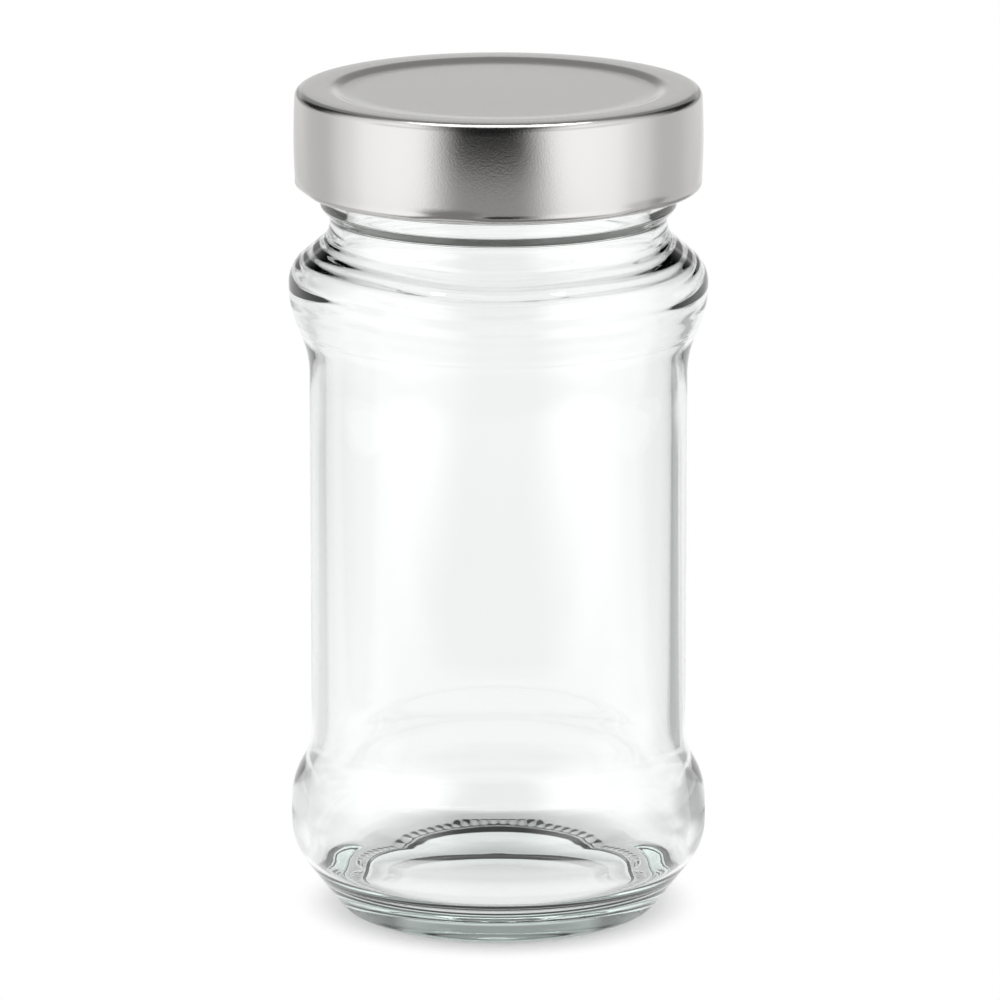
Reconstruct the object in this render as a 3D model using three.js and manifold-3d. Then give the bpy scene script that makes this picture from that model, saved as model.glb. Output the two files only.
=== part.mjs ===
// Glass food jar with a lug-thread finish, closed by a deep pressed tinplate twist-off lid.
// Millimetres, +Z up. The foot ring stands on z = 0, the axis is x = y = 0, the front is -Y.
import * as THREE from "three";
import { mergeVertices } from "three/addons/utils/BufferGeometryUtils.js";
import ManifoldModule from "manifold-3d";

const solids = await ManifoldModule();
solids.setup();

// Glass body, outside
const BAND_RADIUS = 35.85; // both bands, which touch the neighbours on a filling line
const LABEL_RADIUS = 32.35;
const FOOT_RADIUS = 25.95; // outer edge of the flat ring the jar stands on
const FOOT_WIDTH = 1.4;
const FOOT_ROUND = 3.1;
const FOOT_INNER_ROUND = 1.6;
const PUSH_UP = 2.6; // height of the domed underside at the axis
const HEEL_LEAN = 37.3; // degrees from the vertical
const HEEL_ROUND = 10.4;
const BASE_BAND = 3.3;
const LOWER_SWEEP = 13.0;
const LABEL_HEIGHT = 62.6;
const UPPER_SWEEP = 15.7;
const SHOULDER_BAND = 0.2;
const SHOULDER_ROUND = 5.6;
const SHOULDER_LEAN = 49.5;
const NECK_RADIUS = 28.8;
const NECK_ROUND = 4.0;
const NECK_BAND = 0.75;

// Glass body, inside
const WALL = 2.6;
const FLOOR = 6.3; // height of the inside floor

// Finish: the ring, wall and rim the lid closes on
const RING_RADIUS = 30.45;
const RING_LEAN = 45;
const RING_FILLET = 1.6;
const RING_ROUND = 0.9;
const RING_BAND = 1.9;
const FINISH_RADIUS = 30.9;
const FINISH_FLARE = 1.0;
const FINISH_HEIGHT = 16.0;
const CROWN_ROUND = 1.1; // outer edge of the rim
const LIP_ROUND = 2.6; // inner edge of the rim

// Lug thread: one ramp for each lug of the lid
const LUGS = 6;
const LEAD = 18.0; // rise in one turn
const THREAD_DEPTH = 1.2;
const THREAD_ROOT = 1.2;
const THREAD_CREST = 0.7;
const THREAD_SPAN = 50; // degrees
const THREAD_FADE = 0.14; // share of the ramp in which each end runs out
const THREAD_BEDDING = 0.6;

// Lid
const LID_HEIGHT = 17.0;
const SHEET = 0.22;
const LID_CORNER = 1.45;
const RIM_WIDTH = 5.8; // from the edge of the raised band to the outside of the skirt
const PANEL_DEPTH = 0.75;
const PANEL_STEP = 1.3;
const CURL_RADIUS = 1.15;
const CURL_END = 285; // degrees the edge is rolled round
const LUG_FRONT = -13.5; // degrees of one lug from the front, toward +X
const LUG_WIDTH = 13; // degrees
const LUG_THICK = 0.8;
const LUG_AHEAD = 15; // degrees from the low end of a ramp to the closed lug
const DENT_DEPTH = 0.45;
const DENT_WIDTH = 15; // degrees to each side of a lug
const DENT_RISE = 2.4;

// Sealing ring
const SEAL_THICK = 0.98; // over the rim
const SEAL_SQUASH = 0.36; // depth the rim has sunk in
const SEAL_OVERLAP = 1.3; // inward of the crown of the rim
const SEAL_WIDTH = 4.4;
const SEAL_ROUND = 0.7;

// Clearances
const SEAL_GAP = 0.15; // sealing ring to lid
const RIM_GAP = 0.08; // rim to sealing ring
const LUG_GAP = 0.17; // lug to ramp, up and down
const LUG_WALL_GAP = 0.35; // lug to finish wall
const CURL_GAP = 0.3; // ramp to curl

// Resolution
const AROUND = 48;

const rad = THREE.MathUtils.degToRad;

function at(r, z) {
  return new THREE.Vector2(r, z);
}

// Points of an arc about (r, z), angles in degrees from the outward direction.
function arc(r, z, radius, from, to, steps) {
  const points = [];
  for (let i = 0; i <= steps; i += 1) {
    const turn = rad(from + ((to - from) * i) / steps);
    points.push(at(r + radius * Math.cos(turn), z + radius * Math.sin(turn)));
  }
  return points;
}

// Rise of a sweep between two upright walls: a round, a cone of the given lean, and a round.
function sweepRise(fromR, toR, lean, firstRound, lastRound) {
  const turn = rad(lean);
  const rounds = firstRound + lastRound;
  const across = Math.abs(toR - fromR) - rounds * (1 - Math.cos(turn));
  return rounds * Math.sin(turn) + across / Math.tan(turn);
}

function sweep(fromR, fromZ, toR, lean, firstRound, lastRound, steps) {
  const toZ = fromZ + sweepRise(fromR, toR, lean, firstRound, lastRound);
  const side = Math.sign(toR - fromR);
  const first = [];
  const last = [];
  for (let i = 0; i <= steps; i += 1) {
    const turn = rad((lean * i) / steps);
    const inset = side * (1 - Math.cos(turn));
    first.push(at(fromR + firstRound * inset, fromZ + firstRound * Math.sin(turn)));
    last.unshift(at(toR - lastRound * inset, toZ - lastRound * Math.sin(turn)));
  }
  return [...first, ...last];
}

// A sweep of a set height made of two equal arcs.
function ogee(fromR, fromZ, toR, height, steps) {
  const lean = 2 * Math.atan(Math.abs(toR - fromR) / height);
  const round = height / 2 / Math.sin(lean);
  const points = sweep(fromR, fromZ, toR, THREE.MathUtils.radToDeg(lean), round, round, steps);
  points.splice(steps, 1);
  return points;
}

// Heights of the glass, from the foot up
function glassLevels() {
  const lean = rad(HEEL_LEAN);
  const footEnd = FOOT_ROUND * (1 - Math.sin(lean));
  const footEndR = FOOT_RADIUS + FOOT_ROUND * Math.cos(lean);
  const heelStartR = BAND_RADIUS - HEEL_ROUND * (1 - Math.cos(lean));
  const heelStart = footEnd + (heelStartR - footEndR) / Math.tan(lean);
  const band = heelStart + HEEL_ROUND * Math.sin(lean);
  const waist = band + BASE_BAND;
  const label = waist + LOWER_SWEEP;
  const labelTop = label + LABEL_HEIGHT;
  const shoulder = labelTop + UPPER_SWEEP;
  const shoulderTop = shoulder + SHOULDER_BAND;
  const neck = shoulderTop
    + sweepRise(BAND_RADIUS, NECK_RADIUS, SHOULDER_LEAN, SHOULDER_ROUND, NECK_ROUND);
  const neckTop = neck + NECK_BAND;
  const ring = neckTop + sweepRise(NECK_RADIUS, RING_RADIUS, RING_LEAN, RING_FILLET, RING_ROUND);
  const ringTop = ring + RING_BAND;
  const finish = ringTop + FINISH_FLARE;
  const rim = finish + FINISH_HEIGHT;
  return { band, waist, labelTop, shoulderTop, neckTop, ringTop, finish, rim };
}

const LEVEL = glassLevels();
const CROWN_RADIUS = FINISH_RADIUS - CROWN_ROUND;

// Lid sizes that follow from the finish
const SEAL_TOP = LEVEL.rim + RIM_GAP + SEAL_THICK;
const LID_TOP = SEAL_TOP + SEAL_GAP + SHEET;
const LID_BOTTOM = LID_TOP - LID_HEIGHT;
const THREAD_RADIUS = FINISH_RADIUS + THREAD_DEPTH;
const LID_RADIUS = THREAD_RADIUS + CURL_GAP + 2 * CURL_RADIUS;
const CURL_R = LID_RADIUS - CURL_RADIUS;
const CURL_Z = LID_BOTTOM + CURL_RADIUS;
const LUG_BOTTOM = LID_BOTTOM + SHEET / 2;
const LUG_SLANT = (LEAD * LUG_WIDTH) / 2 / 360;

function insideLine() {
  const bandR = BAND_RADIUS - WALL;
  const labelR = LABEL_RADIUS - WALL;
  const neckR = NECK_RADIUS - WALL;
  const corner = LEVEL.waist - FLOOR;
  return [
    at(0, FLOOR),
    ...arc(bandR - corner, LEVEL.waist, corner, -90, 0, 5),
    ...ogee(bandR, LEVEL.waist, labelR, LOWER_SWEEP, 2).slice(1),
    ...ogee(labelR, LEVEL.labelTop, bandR, UPPER_SWEEP, 2),
    ...sweep(bandR, LEVEL.shoulderTop, neckR, SHOULDER_LEAN, SHOULDER_ROUND - WALL, NECK_ROUND + WALL, 2),
  ];
}

function rimLine() {
  return [
    ...arc(CROWN_RADIUS, LEVEL.rim - LIP_ROUND, LIP_ROUND, 180, 90, 4),
    ...arc(CROWN_RADIUS, LEVEL.rim - CROWN_ROUND, CROWN_ROUND, 90, 0, 3).slice(1),
  ];
}

// Outside of the glass from the finish down to the base band
function outsideLine() {
  const upward = [
    ...ogee(BAND_RADIUS, LEVEL.waist, LABEL_RADIUS, LOWER_SWEEP, 3),
    ...ogee(LABEL_RADIUS, LEVEL.labelTop, BAND_RADIUS, UPPER_SWEEP, 3),
    ...sweep(BAND_RADIUS, LEVEL.shoulderTop, NECK_RADIUS, SHOULDER_LEAN, SHOULDER_ROUND, NECK_ROUND, 3),
    ...sweep(NECK_RADIUS, LEVEL.neckTop, RING_RADIUS, RING_LEAN, RING_FILLET, RING_ROUND, 2),
    at(RING_RADIUS, LEVEL.ringTop),
    at(FINISH_RADIUS, LEVEL.finish),
  ];
  return upward.reverse();
}

// Heel, foot ring and domed underside, down and in to the axis
function footLine() {
  const footInnerR = FOOT_RADIUS - FOOT_WIDTH;
  const rounded = arc(footInnerR, FOOT_INNER_ROUND, FOOT_INNER_ROUND, -90, -150, 2);
  const edge = rounded[rounded.length - 1];
  const dome = PUSH_UP - edge.y;
  const domeRadius = (edge.x * edge.x + dome * dome) / (2 * dome);
  const domeEnd = 90 - THREE.MathUtils.radToDeg(Math.asin(edge.x / domeRadius));
  return [
    ...arc(BAND_RADIUS - HEEL_ROUND, LEVEL.band, HEEL_ROUND, 0, -HEEL_LEAN, 3),
    ...arc(FOOT_RADIUS, FOOT_ROUND, FOOT_ROUND, -HEEL_LEAN, -90, 3),
    ...rounded,
    ...arc(0, PUSH_UP - domeRadius, domeRadius, domeEnd, 90, 3).slice(1, -1),
    at(0, PUSH_UP),
  ];
}

function lathe(line) {
  const turned = new THREE.LatheGeometry(line, AROUND, rad(LUG_FRONT));
  return turned.rotateX(Math.PI / 2);
}

// A bar of the given section, bent round the axis and raised along a helix of the given lead.
function bentBar(section, radius, from, span, lead, fade) {
  const steps = Math.ceil(span / 6);
  const bar = new THREE.ExtrudeGeometry(new THREE.Shape(section), { depth: 1, steps, bevelEnabled: false });
  const spots = bar.getAttribute("position");
  for (let i = 0; i < spots.count; i += 1) {
    const along = 1 - spots.getZ(i);
    const turn = rad(from + span * along);
    const proud = Math.max(spots.getX(i), 0) * fade(along) + Math.min(spots.getX(i), 0);
    const rise = (lead * span * along) / 360;
    spots.setXYZ(i, (radius + proud) * Math.sin(turn), -(radius + proud) * Math.cos(turn), spots.getY(i) + rise);
  }
  return bar;
}

function solidOf(geometry) {
  const bare = geometry.clone();
  bare.deleteAttribute("normal");
  bare.deleteAttribute("uv");
  const welded = mergeVertices(bare, 1e-4);
  const corners = welded.getIndex().array;
  const kept = [];
  for (let i = 0; i < corners.length; i += 3) {
    const [a, b, c] = corners.slice(i, i + 3);
    if (a !== b && b !== c && c !== a) {
      kept.push(a, b, c);
    }
  }
  const mesh = new solids.Mesh({
    numProp: 3,
    vertProperties: new Float32Array(welded.getAttribute("position").array),
    triVerts: new Uint32Array(kept),
  });
  return new solids.Manifold(mesh);
}

function geometryOf(solid) {
  const mesh = solid.getMesh();
  const geometry = new THREE.BufferGeometry();
  geometry.setAttribute("position", new THREE.BufferAttribute(mesh.vertProperties, 3));
  geometry.setIndex(new THREE.BufferAttribute(mesh.triVerts, 1));
  geometry.computeVertexNormals();
  return geometry;
}

function lugAngles() {
  return Array.from({ length: LUGS }, (_, i) => LUG_FRONT + (360 * i) / LUGS);
}

// Ramp height fades out at both ends so that a lug can slide under it.
function rampFade(along) {
  const nearest = Math.min(along, 1 - along);
  return THREE.MathUtils.clamp(nearest / THREAD_FADE, 0.1, 1);
}

function threadRamp(lugAngle) {
  const middleAtLug = LUG_BOTTOM + LUG_THICK + LUG_SLANT + LUG_GAP + THREAD_ROOT / 2;
  const low = middleAtLug - (LEAD * LUG_AHEAD) / 360;
  const section = [
    at(-THREAD_BEDDING, low - THREAD_ROOT / 2),
    at(0, low - THREAD_ROOT / 2),
    at(THREAD_DEPTH, low - THREAD_CREST / 2),
    at(THREAD_DEPTH, low + THREAD_CREST / 2),
    at(0, low + THREAD_ROOT / 2),
    at(-THREAD_BEDDING, low + THREAD_ROOT / 2),
  ];
  return bentBar(section, FINISH_RADIUS, lugAngle - LUG_AHEAD, THREAD_SPAN, LEAD, rampFade);
}

function glassJar() {
  const line = [...insideLine(), ...rimLine(), ...outsideLine(), ...footLine()];
  const ramps = lugAngles().map((angle) => solidOf(threadRamp(angle)));
  const body = solidOf(lathe(line.reverse()));
  return geometryOf(solids.Manifold.union([body, ...ramps]));
}

// Outer line of the lid from the axis to the rolled end of its edge
function lidLine() {
  const rimR = LID_RADIUS - RIM_WIDTH;
  const panelR = rimR - PANEL_STEP;
  const panelZ = LID_TOP - PANEL_DEPTH;
  const step = ogee(panelZ, panelR, LID_TOP, PANEL_STEP, 2).map((spot) => at(spot.y, spot.x));
  return [
    at(0, panelZ),
    ...step,
    ...arc(LID_RADIUS - LID_CORNER, LID_TOP - LID_CORNER, LID_CORNER, 90, 0, 4),
    at(LID_RADIUS, LUG_BOTTOM + DENT_RISE),
    ...arc(CURL_R, CURL_Z, CURL_RADIUS, 0, -CURL_END, 10),
  ];
}

// Closed outline of a sheet whose outer line is given.
function sheetOutline(line) {
  const inner = line.map((spot, i) => {
    const before = i > 0 ? spot.clone().sub(line[i - 1]).normalize() : at(1, 0);
    const after = i < line.length - 1 ? line[i + 1].clone().sub(spot).normalize() : before;
    const normal = at(before.y + after.y, -before.x - after.x).normalize();
    const mitre = SHEET / Math.max(normal.dot(at(before.y, -before.x)), 0.5);
    return spot.clone().addScaledVector(normal, mitre);
  });
  return [...inner, ...line.slice().reverse()];
}

// The edge is pressed in where each lug is formed from the curl.
function dentedAtLugs(geometry) {
  const spots = geometry.getAttribute("position");
  for (let i = 0; i < spots.count; i += 1) {
    const x = spots.getX(i);
    const y = spots.getY(i);
    const turn = THREE.MathUtils.radToDeg(Math.atan2(x, -y)) - LUG_FRONT;
    const pitch = 360 / LUGS;
    const aside = Math.abs(turn - pitch * Math.round(turn / pitch));
    const near = THREE.MathUtils.smoothstep(DENT_WIDTH - aside, 0, DENT_WIDTH);
    const low = 1 - THREE.MathUtils.smoothstep(spots.getZ(i) - LUG_BOTTOM, 0, DENT_RISE);
    const r = Math.hypot(x, y);
    const scale = r > 0 ? 1 - (DENT_DEPTH * near * low) / r : 1;
    spots.setXY(i, x * scale, y * scale);
  }
  return geometry;
}

function lug(angle) {
  const tip = FINISH_RADIUS + LUG_WALL_GAP - CURL_R;
  const section = [
    at(tip, LUG_BOTTOM),
    at(0, LUG_BOTTOM),
    at(0, LUG_BOTTOM + LUG_THICK),
    at(tip, LUG_BOTTOM + LUG_THICK),
  ];
  return bentBar(section, CURL_R, angle - LUG_WIDTH / 2, LUG_WIDTH, 0, () => 1);
}

function lidShell() {
  const shell = solidOf(dentedAtLugs(lathe(sheetOutline(lidLine()))));
  const lugs = lugAngles().map((angle) => solidOf(lug(angle)));
  return geometryOf(solids.Manifold.union([shell, ...lugs]));
}

// Flowed-in ring with the print of the rim in its underside
function sealingRing() {
  const under = LEVEL.rim + RIM_GAP - SEAL_SQUASH;
  const innerR = CROWN_RADIUS - SEAL_OVERLAP;
  const outerR = innerR + SEAL_WIDTH;
  const lip = LIP_ROUND + RIM_GAP;
  const crown = CROWN_ROUND + RIM_GAP;
  const lipEnd = 180 - THREE.MathUtils.radToDeg(Math.acos(SEAL_OVERLAP / lip));
  const crownEnd = THREE.MathUtils.radToDeg(Math.asin(1 - SEAL_SQUASH / crown));
  const chamfer = LID_RADIUS - RIM_WIDTH + SHEET + SEAL_GAP - innerR;
  const line = [
    ...arc(CROWN_RADIUS, LEVEL.rim - LIP_ROUND, lip, lipEnd, 90, 3),
    ...arc(CROWN_RADIUS, LEVEL.rim - CROWN_ROUND, crown, 90, crownEnd, 3).slice(1),
    at(outerR, under),
    ...arc(outerR - SEAL_ROUND, SEAL_TOP - SEAL_ROUND, SEAL_ROUND, 0, 90, 3),
    at(innerR + chamfer, SEAL_TOP),
    at(innerR, SEAL_TOP - chamfer),
  ];
  line.push(line[0].clone());
  return geometryOf(solidOf(lathe(line)));
}

function named(name, geometry, finish) {
  const mesh = new THREE.Mesh(geometry, new THREE.MeshStandardMaterial(finish));
  mesh.name = name;
  return mesh;
}

const jar = new THREE.Group();
jar.name = "glass_jar_with_twist_off_lid";
jar.add(named("glass_jar", glassJar(), { color: 0xdcebe6, roughness: 0.04, transparent: true, opacity: 0.35 }));
jar.add(named("lid_shell", lidShell(), { color: 0xbdbbb8, roughness: 0.35, metalness: 1 }));
jar.add(named("sealing_ring", sealingRing(), { color: 0xe8e4da, roughness: 0.6 }));

export default jar;
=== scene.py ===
"""Clear glass food jar with a satin tinplate twist-off lid, dressed for a white studio picture.

Every outline is given as radius and height in millimetres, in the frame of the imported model:
+Z is the axis of the jar, z = 0 is the surface it stands on and -Y is the front. The angle round
the axis starts at the front and grows toward +X. The studio is given in metres.
"""

import logging
from dataclasses import dataclass
from enum import Enum

import bpy
import numpy as np
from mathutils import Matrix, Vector


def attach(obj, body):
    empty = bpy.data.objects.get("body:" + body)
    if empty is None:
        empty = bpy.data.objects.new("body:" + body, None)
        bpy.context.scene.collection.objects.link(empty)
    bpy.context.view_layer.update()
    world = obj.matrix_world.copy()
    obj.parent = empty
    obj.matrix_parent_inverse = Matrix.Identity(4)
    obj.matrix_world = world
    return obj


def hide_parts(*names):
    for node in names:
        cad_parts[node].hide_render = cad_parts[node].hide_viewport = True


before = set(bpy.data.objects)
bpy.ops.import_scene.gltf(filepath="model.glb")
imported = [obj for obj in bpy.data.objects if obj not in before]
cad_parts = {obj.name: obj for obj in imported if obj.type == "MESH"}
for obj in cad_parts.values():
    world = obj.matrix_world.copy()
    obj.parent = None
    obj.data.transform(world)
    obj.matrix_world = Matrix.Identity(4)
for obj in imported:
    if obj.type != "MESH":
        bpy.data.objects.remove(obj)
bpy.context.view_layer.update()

log = logging.getLogger("jar")
Array = np.ndarray
Pair = tuple[float, float]
Triple = tuple[float, float, float]
Socket = bpy.types.NodeSocket
Tree = bpy.types.NodeTree

MM = 0.001
FINE_STEP = 0.08
FINER = 3
FULL_TURN = 360
WHITE = (1.0, 1.0, 1.0, 1.0)
RISING = (0.0, 1.0)
FALLING = (1.0, 0.0)

# The lit surroundings are turned a little about the jar's axis
FRONT_TURN = 5.0
SKEW = float(np.tan(np.radians(FRONT_TURN)))


class Body(Enum):
    """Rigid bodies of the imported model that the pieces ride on."""

    JAR = "jar"
    SEAL = "seal"
    LID = "lid"


class Slot(Enum):
    """Material slots of the record."""

    GLASS = "clear_glass"
    TINPLATE = "silver_tinplate"
    COMPOUND = "seal_compound"


class Ramp(Enum):
    """How a ramp climbs."""

    LINEAR = "LINEAR"
    SMOOTH = "SMOOTHSTEP"


class Op(Enum):
    """What a math node works out."""

    ADD = "ADD"
    SUBTRACT = "SUBTRACT"
    MULTIPLY = "MULTIPLY"
    DIVIDE = "DIVIDE"
    MULTIPLY_ADD = "MULTIPLY_ADD"
    MAXIMUM = "MAXIMUM"
    ABSOLUTE = "ABSOLUTE"


def arc(r: float, z: float, radius: float, start: float, end: float) -> Array:
    """Points of a circular arc, about one per degree.

    Args:
        r: Radius of the arc's centre from the axis.
        z: Height of the arc's centre.
        radius: Radius of the arc.
        start: First angle in degrees from the outward direction.
        end: Last angle in degrees.

    Returns:
        Points (radius, height), one a row.
    """
    turn = np.radians(np.linspace(start, end, int(abs(end - start)) + 2))
    return np.stack([r + radius * np.cos(turn), z + radius * np.sin(turn)], axis=1)


def sweep(start: Pair, end_r: float, lean: float, first: float, last: float) -> Array:
    """Line between two upright walls: a round, a cone of the given lean and a second round.

    The rise is (first + last) sin(lean) + (gap - (first + last)(1 - cos(lean))) / tan(lean).

    Args:
        start: Radius and height where the lower wall ends.
        end_r: Radius of the upper wall.
        lean: Lean of the cone from the upright, in degrees.
        first: Radius of the lower round.
        last: Radius of the upper round.

    Returns:
        Points (radius, height) from the lower to the upper wall.
    """
    turn = np.radians(lean)
    side = np.sign(end_r - start[0])
    gap = abs(end_r - start[0]) - (first + last) * (1 - np.cos(turn))
    end_z = start[1] + (first + last) * np.sin(turn) + gap / np.tan(turn)
    steps = np.radians(np.linspace(0, lean, int(lean) + 2))
    inset = side * (1 - np.cos(steps))
    low = np.stack([start[0] + first * inset, start[1] + first * np.sin(steps)], axis=1)
    high = np.stack([end_r - last * inset, end_z - last * np.sin(steps)], axis=1)
    return np.concatenate([low, high[::-1]])


def ogee(start: Pair, end_r: float, height: float) -> Array:
    """S-shaped line of a set height made of two equal arcs, whose lean is twice atan(gap / height).

    Args:
        start: Radius and height where the lower wall ends.
        end_r: Radius of the upper wall.
        height: Height of the whole line.

    Returns:
        Points (radius, height) from the lower to the upper wall.
    """
    lean = 2 * np.arctan(abs(end_r - start[0]) / height)
    bend = height / 2 / np.sin(lean)
    return sweep(start, end_r, float(np.degrees(lean)), bend, bend)


def lengths(line: Array) -> Array:
    """Distance along a line at each of its points."""
    return np.concatenate([[0.0], np.cumsum(np.hypot(*np.diff(line, axis=0).T))])


def evened(line: Array, step: float) -> Array:
    """The same line with points a set distance apart.

    Args:
        line: Points (radius, height).
        step: Distance between the new points.

    Returns:
        The new points, both ends among them.
    """
    along = lengths(line)
    kept = np.concatenate([[True], np.diff(along) > 1e-9])
    spots = np.linspace(0, along[-1], int(along[-1] / step) + 2)
    return np.stack([np.interp(spots, along[kept], line[kept, i]) for i in (0, 1)], axis=1)


def softened(line: Array, radius: float) -> Array:
    """Line with its corners rounded by a running mean, weighted by a bell of the given radius.

    Args:
        line: Points (radius, height) that are FINE_STEP apart.
        radius: Radius of the bell in millimetres.

    Returns:
        As many points, with both ends where they were.
    """
    reach = int(3 * radius / FINE_STEP)
    bell = np.exp(-0.5 * (np.arange(-reach, reach + 1) * FINE_STEP / radius) ** 2)
    padded = np.concatenate([
        2 * line[0] - line[reach:0:-1],
        line,
        2 * line[-1] - line[-2 : -reach - 2 : -1],
    ])
    return np.stack([np.convolve(padded[:, i], bell / bell.sum(), "valid") for i in (0, 1)], axis=1)


def thinned(line: Array, turn: float, step: Array) -> Array:
    """Line with points only where its shape needs them.

    Each stretch of the fine line counts for its length over the local step plus its change of
    direction over the allowed turn, and the points kept are one count apart.

    Args:
        line: Points (radius, height) of the fine line.
        turn: Allowed change of direction between points, in degrees.
        step: Allowed distance between points, for each point of the fine line.

    Returns:
        The points kept, both ends among them.
    """
    run = np.diff(line, axis=0)
    heading = np.unwrap(np.arctan2(run[:, 1], run[:, 0]))
    bend = np.abs(np.diff(heading, prepend=heading[0]))
    count = np.cumsum(np.hypot(*run.T) / step[1:] + np.degrees(bend) / turn)
    count = np.concatenate([[0.0], count])
    spots = np.linspace(0, count[-1], int(count[-1]) + 2)
    return np.stack([np.interp(spots, count, line[:, i]) for i in (0, 1)], axis=1)


def smooth_step(value: Array, low: float, high: float) -> Array:
    """Cubic ramp from 0 at low to 1 at high."""
    share = np.clip((value - low) / (high - low), 0, 1)
    return share * share * (3 - 2 * share)


def angles(columns: int) -> Array:
    """Angles round the axis, in degrees from the front, as one row."""
    return np.linspace(0, FULL_TURN, columns, endpoint=False)[None, :]


def round_grid(line: Array, columns: int) -> tuple[Array, Array]:
    """Radii and heights of a line carried round the axis, rows by columns."""
    return np.repeat(line[:, :1], columns, axis=1), np.repeat(line[:, 1:], columns, axis=1)


def aside_of_lugs(turn: Array, front: float, count: int) -> Array:
    """Signed angle in degrees to the nearest of a ring of lugs."""
    pitch = FULL_TURN / count
    return (turn - front + pitch / 2) % pitch - pitch / 2


def cells(low: Array, high: Array) -> Array:
    """Four-sided faces between rows of point numbers that go round the axis."""
    return np.stack([low, np.roll(low, -1, -1), np.roll(high, -1, -1), high], axis=-1).reshape(-1, 4)


def seam(coarse: Array, fine: Array) -> tuple[Array, Array]:
    """Faces between a row of points and a row above it that has three times as many.

    Args:
        coarse: Point numbers of the lower row.
        fine: Point numbers of the upper row.

    Returns:
        Four-sided faces and three-sided faces.
    """
    beside = np.roll(coarse, -1)
    first, second, third = fine.reshape(-1, FINER).T
    quads = np.stack([coarse, beside, third, second], axis=1)
    left = np.stack([coarse, second, first], axis=1)
    right = np.stack([beside, np.roll(first, -1), third], axis=1)
    return quads, np.concatenate([left, right])


def turned_mesh(name: str, bands: list[tuple[Array, Array]], closed: bool) -> bpy.types.Object:
    """Mesh of a surface round the axis, from grids of radii and heights.

    A point is (radius sin(angle), -radius cos(angle), height). Rows follow the outline and columns
    go round the axis. A closed outline joins its last row to its first; an open one starts and ends
    on the axis, where its end rows shrink to single points.

    Args:
        name: Name of the new object.
        bands: Radii and heights in millimetres, rows by columns, of each stretch of the outline. The
            columns of neighbouring stretches are as many or three times as many.
        closed: True for an outline that runs round a ring.

    Returns:
        The object, at the origin, with smooth faces that point outwards.
    """
    points = []
    grids = []
    start = 0
    for radius, height in bands:
        turn = np.radians(angles(radius.shape[1]))
        spots = [radius * np.sin(turn), -radius * np.cos(turn), height]
        points.append(np.stack(spots, axis=2).reshape(-1, 3))
        grids.append(start + np.arange(radius.size).reshape(radius.shape))
        start += radius.size
    quads = []
    triangles = [np.zeros((0, 3), int)]
    if closed:
        quads.append(cells(grids[-1][-1], grids[0][0]))
    else:
        first, last = grids[0], grids[-1]
        triangles.append(cells(first[0] * 0 + first[0, 0], first[1])[:, [0, 2, 3]])
        triangles.append(cells(last[-2], last[-1] * 0 + last[-1, 0])[:, :3])
        grids[0] = grids[0][1:]
        grids[-1] = grids[-1][:-1]
    quads += [cells(grid[:-1], grid[1:]) for grid in grids]
    for low, high in zip(grids, grids[1:]):
        if high.shape[1] > low.shape[1]:
            four, three = seam(low[-1], high[0])
        else:
            four, three = (faces[:, ::-1] for faces in seam(high[0], low[-1]))
        quads.append(four)
        triangles.append(three)
    quads = np.concatenate(quads)
    triangles = np.concatenate(triangles)
    used, new = np.unique(np.concatenate([quads.ravel(), triangles.ravel()]), return_inverse=True)
    kept = np.concatenate(points)[used] * MM
    return mesh_object(name, kept, new[: quads.size].reshape(-1, 4), new[quads.size :].reshape(-1, 3))


def mesh_object(name: str, points: Array, quads: Array, triangles: Array) -> bpy.types.Object:
    """Object from arrays of points, four-sided faces and three-sided faces.

    Args:
        name: Name of the new object and its mesh.
        points: Points in metres, one a row.
        quads: Point numbers of the four-sided faces.
        triangles: Point numbers of the three-sided faces.

    Returns:
        The object, linked to the scene, with smooth shading.
    """
    corners = np.concatenate([quads.ravel(), triangles.ravel()]).astype(np.int32)
    totals = np.concatenate([np.full(len(quads), 4), np.full(len(triangles), 3)]).astype(np.int32)
    starts = np.concatenate([[0], np.cumsum(totals)[:-1]]).astype(np.int32)
    mesh = bpy.data.meshes.new(name)
    mesh.vertices.add(len(points))
    mesh.vertices.foreach_set("co", points.astype(np.float32).ravel())
    mesh.loops.add(len(corners))
    mesh.loops.foreach_set("vertex_index", corners)
    mesh.polygons.add(len(totals))
    mesh.polygons.foreach_set("loop_start", starts)
    mesh.polygons.foreach_set("use_smooth", np.ones(len(totals), bool))
    mesh.update(calc_edges=True)
    mesh.validate()
    made = bpy.data.objects.new(name, mesh)
    bpy.context.scene.collection.objects.link(made)
    return made


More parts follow.
